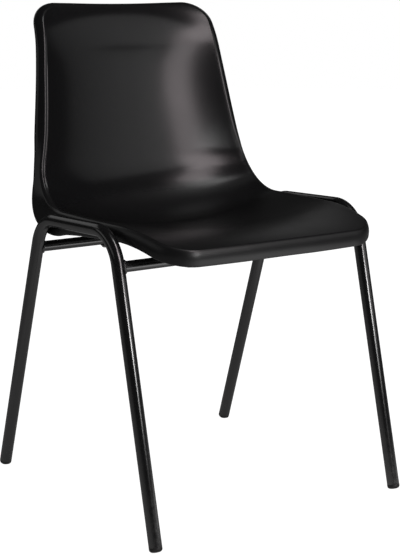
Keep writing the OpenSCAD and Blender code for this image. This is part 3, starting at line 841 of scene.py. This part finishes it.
# %% Shell piece
def new_piece(name, points, faces, material, sharp=40.0):
    mesh = bpy.data.meshes.new(name)
    mesh.from_pydata([tuple(p) for p in points], [], [tuple(f) for f in faces])
    mesh.update()
    mesh.materials.append(material)
    mesh.shade_smooth()
    mesh.set_sharp_from_angle(angle=radians(sharp))
    piece = bpy.data.objects.new(name, mesh)
    scene.collection.objects.link(piece)
    return piece


def grid_faces(start, rows, columns, flip=False):
    """Faces of a grid of points that follow each other row by row from point number start on."""
    faces = []
    for i in range(rows - 1):
        for j in range(columns - 1):
            p = start + i * columns + j
            quad = (p, p + 1, p + columns + 1, p + columns)
            faces.append(quad[::-1] if flip else quad)
    return faces


side = columns + 1
shell_points = list(tops.reshape(-1, 3)) + list((tops - wall * ups).reshape(-1, 3))
shell_faces = grid_faces(0, rows, side) + grid_faces(rows * side, rows, side, flip=True)
upper_edge = [i * side + j for i, j in edge]
loops = [upper_edge]
for ring in rings:
    loops.append(list(range(len(shell_points), len(shell_points) + len(edge))))
    shell_points += list(ring)
loops.append([rows * side + k for k in upper_edge])
for near, far in zip(loops, loops[1:]):
    for k in range(len(edge)):
        n = (k + 1) % len(edge)
        shell_faces.append((near[k], far[k], far[n], near[n]))
for x in (-screw_x, screw_x):
    for rail in (front_cross, rear_cross):
        add_boss(shell_points, shell_faces, x, rail)
        for quarter in range(4):
            add_rib(shell_points, shell_faces, x, rail, quarter * pi / 2)
shell = new_piece("moulded_shell", shell_points, shell_faces, shell_plastic)

worn_ring, worn_spread = 12, 8
worn = np.zeros(len(shell_points), np.float32)
for number, ring_points in enumerate(loops[1:len(outer) + 1]):
    worn[ring_points] = np.exp(-((number - worn_ring) / worn_spread) ** 2)
attribute = shell.data.attributes.new("worn", "FLOAT", "POINT")
attribute.data.foreach_set("value", worn)

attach(shell, "root")
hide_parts("seat_shell")
print("moulded_shell", len(shell.data.polygons), "faces")

# %% [markdown]
# ## Side frames
# Each side frame is one tube, bent twice and left straight elsewhere. The real one comes off a bending
# machine that draws the bend slightly flat, by a few hundredths of the diameter. A bevelled curve would
# make the tube in one step, but evenly round. So a ring of points is swept along the centre line, closer
# together in the bends, so the highlight that runs round each bend is clean.

# %% Centre line of a side frame
leg_steps, bend_steps, rail_steps = 24, 36, 8
bend_flat, bend_widen = 0.03, 0.3


def on_side(side_sign, y, z):
    """A point of the side frame's plane, placed on the left (-1) or right (1) of the chair."""
    x = rail_x + sin(splay) * (corner_z - z)
    return Vector((side_sign * x, y, corner_z + cos(splay) * (z - corner_z)))


def frame_path():
    """Points (y, z, flattening) along the bent tube's centre line, from cap to cap."""
    front_way = np.array([sin(front_rake), cos(front_rake)])
    rear_way = np.array([-sin(rear_rake), cos(rear_rake)])
    path = []

    def straight(first, last, steps):
        for k in range(steps):
            path.append((*(first + (last - first) * k / steps), 0.0))

    def bend(start, lean, turn, steps):
        centre = start + bend_r * np.array([cos(lean), -sin(lean)])
        for k in range(steps):
            a = lean + turn * k / steps
            spot = centre + bend_r * np.array([-cos(a), sin(a)])
            path.append((*spot, bend_flat * sin(pi * k / steps)))

    front_turn = radians(90) - front_rake + rail_fall
    rear_turn = radians(90) - rear_rake - rail_fall
    rail_way = np.array([cos(rail_fall), -sin(rail_fall)])
    front_bend = front_corner - bend_r * tan(front_turn / 2) * front_way
    front_end = front_corner + bend_r * tan(front_turn / 2) * rail_way
    rear_bend = rear_corner - bend_r * tan(rear_turn / 2) * rail_way
    rear_end = rear_corner - bend_r * tan(rear_turn / 2) * rear_way
    straight(front_foot + foot_cap_h * front_way, front_bend, leg_steps)
    bend(front_bend, front_rake, front_turn, bend_steps)
    straight(front_end, rear_bend, rail_steps)
    bend(rear_bend, radians(90) + rail_fall, rear_turn, bend_steps)
    straight(rear_end, rear_foot + foot_cap_h * rear_way, leg_steps)
    path.append((*(rear_foot + foot_cap_h * rear_way), 0.0))
    return path


print("side frame path points:", len(frame_path()))

# %% Side frame pieces
frame_sides = (("left", -1), ("right", 1))
around = 48


def ring_axes(out, ahead):
    """Two directions square to a line that runs ahead, the first as near to out as can be."""
    across = (out - ahead * out.dot(ahead)).normalized()
    return across, ahead.cross(across).normalized()


def ellipse(centre, across, up, across_r, up_r, steps):
    turns = [2 * pi * k / steps for k in range(steps)]
    return [centre + across * (across_r * cos(turn)) + up * (up_r * sin(turn)) for turn in turns]


for side_name, sign in frame_sides:
    path = frame_path()
    centres = [on_side(sign, y, z) for y, z, _ in path]
    points = []
    for k, (_, _, flat) in enumerate(path):
        ahead = (centres[min(k + 1, len(path) - 1)] - centres[max(k - 1, 0)]).normalized()
        axes = ring_axes(Vector((sign, 0, 0)), ahead)
        points += ellipse(centres[k], *axes, tube_r * (1 + flat * bend_widen), tube_r * (1 - flat), around)
    faces = ring_faces(len(path), around)
    for end in (0, len(path) - 1):
        rim, start, middle = end * around, len(points), centres[end]
        points += [middle + (p - middle) * (1 - tube_wall / tube_r) for p in points[rim:rim + around]]
        for k in range(around):
            n = (k + 1) % around
            quad = (rim + k, start + k, start + n, rim + n)
            faces.append(quad if end == 0 else quad[::-1])
    tube = new_piece(side_name + "_tube", points, faces, frame_enamel)
    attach(tube, "root")
    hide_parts(side_name + "_side_frame")
    print(tube.name, len(tube.data.polygons), "faces")

# %% [markdown]
# ## Cross rails and their welds
# Two thinner tubes join the side frames under the seat. Each end is cut to the round of the leg and welded
# all round. A weld bead is a row of overlapping puddles, so the bead here is a round line swept along the
# curve where the two cylinders meet, half sunk in both, swelling and shrinking with each puddle. A boolean
# of the two tubes would give the curve too, but not an even line of points to sweep along.

# %% Where a rail meets a leg
bead_steps, bead_around = 150, 12
bead_r, bead_lift = 0.0022, 0.0003
bead_least, bead_swell, bead_drift, bead_puddles = 0.86, 0.16, 0.06, 13


def leg_line(sign, foot, lean):
    """A point on a leg's axis and the axis's direction, in the chair's frame."""
    first = on_side(sign, *foot)
    last = on_side(sign, foot[0] + sin(lean), foot[1] + cos(lean))
    return first, (last - first).normalized()


def meeting_x(sign, y, z, foot, lean):
    """x at which a line along X at (y, z) first meets the leg's surface, coming from the middle."""
    base, axis = leg_line(sign, foot, lean)
    offset = Vector((0, y, z)) - base
    along_x = Vector((1, 0, 0)) - axis * axis.x
    rest = offset - axis * offset.dot(axis)
    a, b, c = along_x.dot(along_x), 2 * along_x.dot(rest), rest.dot(rest) - tube_r**2
    root = sqrt(max(b * b - 4 * a * c, 0.0))
    return (-b - sign * root) / (2 * a)


def weld_bead(sign, rail, foot, lean, number):
    """Rings of a closed bead along the meeting line. Each number swells it at other places."""
    spots = []
    for k in range(bead_steps):
        turn = 2 * pi * k / bead_steps
        y, z = rail[0] + cross_r * cos(turn), rail[1] + cross_r * sin(turn)
        spots.append(Vector((meeting_x(sign, y, z, foot, lean), y, z)))
    points = []
    for k, spot in enumerate(spots):
        ahead = (spots[(k + 1) % bead_steps] - spots[k - 1]).normalized()
        rail_out = Vector((0, spot.y - rail[0], spot.z - rail[1])).normalized()
        out, lift = ring_axes(rail_out, ahead)
        swell = bead_swell * abs(sin(bead_puddles * pi * k / bead_steps + number))
        drift = bead_drift * sin(6 * pi * k / bead_steps + 2 * number)
        r = bead_r * (bead_least + swell + drift)
        points += ellipse(spot + out * bead_lift, out, lift, r, r, bead_around)
    return points


print("front rail meets the left leg at x", round(meeting_x(-1, *front_cross, front_foot, front_rake), 4))

# %% Cross rail pieces
rail_rings, rail_around, rail_short = 41, 40, 0.004
leg_ends = (("front", front_cross, front_foot, front_rake), ("rear", rear_cross, rear_foot, -rear_rake))
reach = rail_x - rail_short
rail_axes = (Vector((0, 1, 0)), Vector((0, 0, 1)))
for end, (rail_name, rail, foot, lean) in enumerate(leg_ends):
    points = []
    for x in np.linspace(-reach, reach, rail_rings):
        points += ellipse(Vector((x, *rail)), *rail_axes, cross_r, cross_r, rail_around)
    faces = ring_faces(rail_rings, rail_around)
    for number, (_, sign) in enumerate(frame_sides):
        faces += ring_faces(bead_steps, bead_around, len(points), closed=True)
        points += weld_bead(sign, rail, foot, lean, number + 2 * end)
    piece = new_piece(rail_name + "_cross_tube", points, faces, frame_enamel, sharp=75)
    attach(piece, "root")
    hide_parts(rail_name + "_cross_rail")
    print(piece.name, len(piece.data.polygons), "faces")

# %% [markdown]
# ## Feet
# Each tube ends in a moulded plug: a cap as wide as the tube, with a fine step where it meets the tube's
# end, a rounded lower edge, and a sole worn flat by the floor. A cylinder with a bevel would be quicker, but
# the sole lies flat on the floor while the leg leans. So the cap is turned about the leg's axis from a short
# outline, and every point that would go below the floor is set on it.

# %% Foot pieces
foot_edge_r, foot_flat, edge_steps = 0.004, 0.0012, 10
sole_rings = (0.0015, 0.003)
cap_step = 0.00035
plug_gap, plug_depth, plug_bore = 0.0002, 0.004, 0.002


def cap_outline(lean):
    """(radius, height along the leg) of the cap's outline, from the middle of its sole up to its plug."""
    low = (foot_edge_r - foot_flat + (tube_r - foot_edge_r) * sin(lean)) / cos(lean) - foot_edge_r
    outline = [(r, low) for r in (*sole_rings, tube_r - foot_edge_r)]
    for k in range(1, edge_steps + 1):
        a = pi / 2 * k / edge_steps
        outline.append((tube_r - foot_edge_r * (1 - sin(a)), low + foot_edge_r * (1 - cos(a))))
    outline += [(tube_r, foot_cap_h - cap_step), (tube_r - cap_step * 0.4, foot_cap_h - cap_step * 0.3)]
    outline += [(tube_r - cap_step, foot_cap_h), (tube_r - tube_wall, foot_cap_h)]
    plug_top = foot_cap_h + plug_depth
    return outline + [(tube_r - tube_wall - plug_gap, plug_top), (plug_bore, plug_top)]


for end_name, _, foot, lean in leg_ends:
    for side_name, sign in frame_sides:
        base, axis = leg_line(sign, foot, lean)
        axes = ring_axes(Vector((sign, 0, 0)), axis)
        outline = cap_outline(abs(lean))
        points = []
        for r, height in outline:
            points += ellipse(base + axis * height, *axes, r, r, around)
        points = [Vector((p.x, p.y, max(p.z, 0.0))) for p in points]
        faces = ring_faces(len(outline), around)
        faces.append(range(around)[::-1])
        faces.append(range(len(points) - around, len(points)))
        piece = new_piece(f"{end_name}_{side_name}_cap", points, faces, foot_plastic, sharp=50)
        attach(piece, "root")
        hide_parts(f"{end_name}_{side_name}_foot")

# %% [markdown]
# ## Screws and washers
# The screws and washers hide under the seat and are already right as solids. They could be made again with
# finer rounds, but nothing of that would show, so the solids stay and only get their finishes.

# %% Screw and washer finishes
for name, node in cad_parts.items():
    if name.endswith("_screw"):
        material = screw_steel
    elif name.endswith("_washer"):
        material = washer_nylon
    else:
        continue
    node.data.materials.clear()
    node.data.materials.append(material)
print("carried over:", sorted(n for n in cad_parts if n.endswith(("_screw", "_washer"))))
